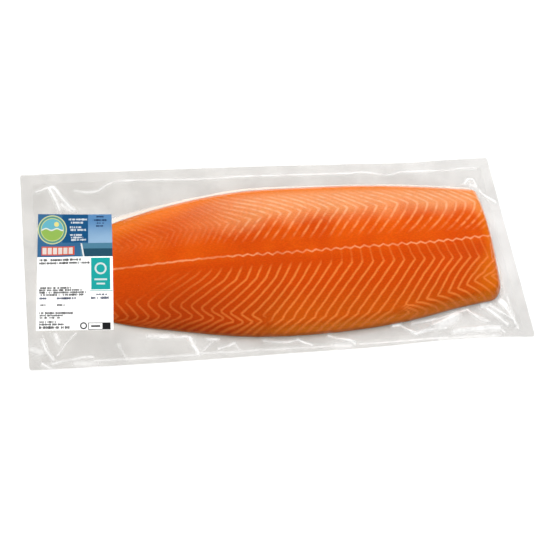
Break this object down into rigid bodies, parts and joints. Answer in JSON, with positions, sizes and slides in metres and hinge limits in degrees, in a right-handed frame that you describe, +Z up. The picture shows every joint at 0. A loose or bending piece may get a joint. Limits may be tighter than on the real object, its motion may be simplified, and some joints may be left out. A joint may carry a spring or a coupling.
{
  "type": "vacuum-packed salmon fillet",
  "caption": "Whole raw side of salmon in a clear vacuum bag that clings to it, with flat welded edges, creased film round the fish and a printed label over the tail.",
  "frame": {"origin": "middle of the bag's flat underside", "axes": "+X along the fish from tail to head end, +Y towards its back edge, +Z up through its thickness"},
  "size_m": [0.54, 0.234, 0.0299],
  "materials": {
    "salmon_in_film": "raw orange flesh with pale fat lines, seen through clear glossy film",
    "clear_film": "clear thin film, slightly grey where two sheets lie together",
    "printed_label": "white self-adhesive label printed in flat fields of blue, teal and red"
  },
  "bodies": {
    "root": {"bag": "salmon_in_film", "label": "printed_label"}
  },
  "joints": []
}
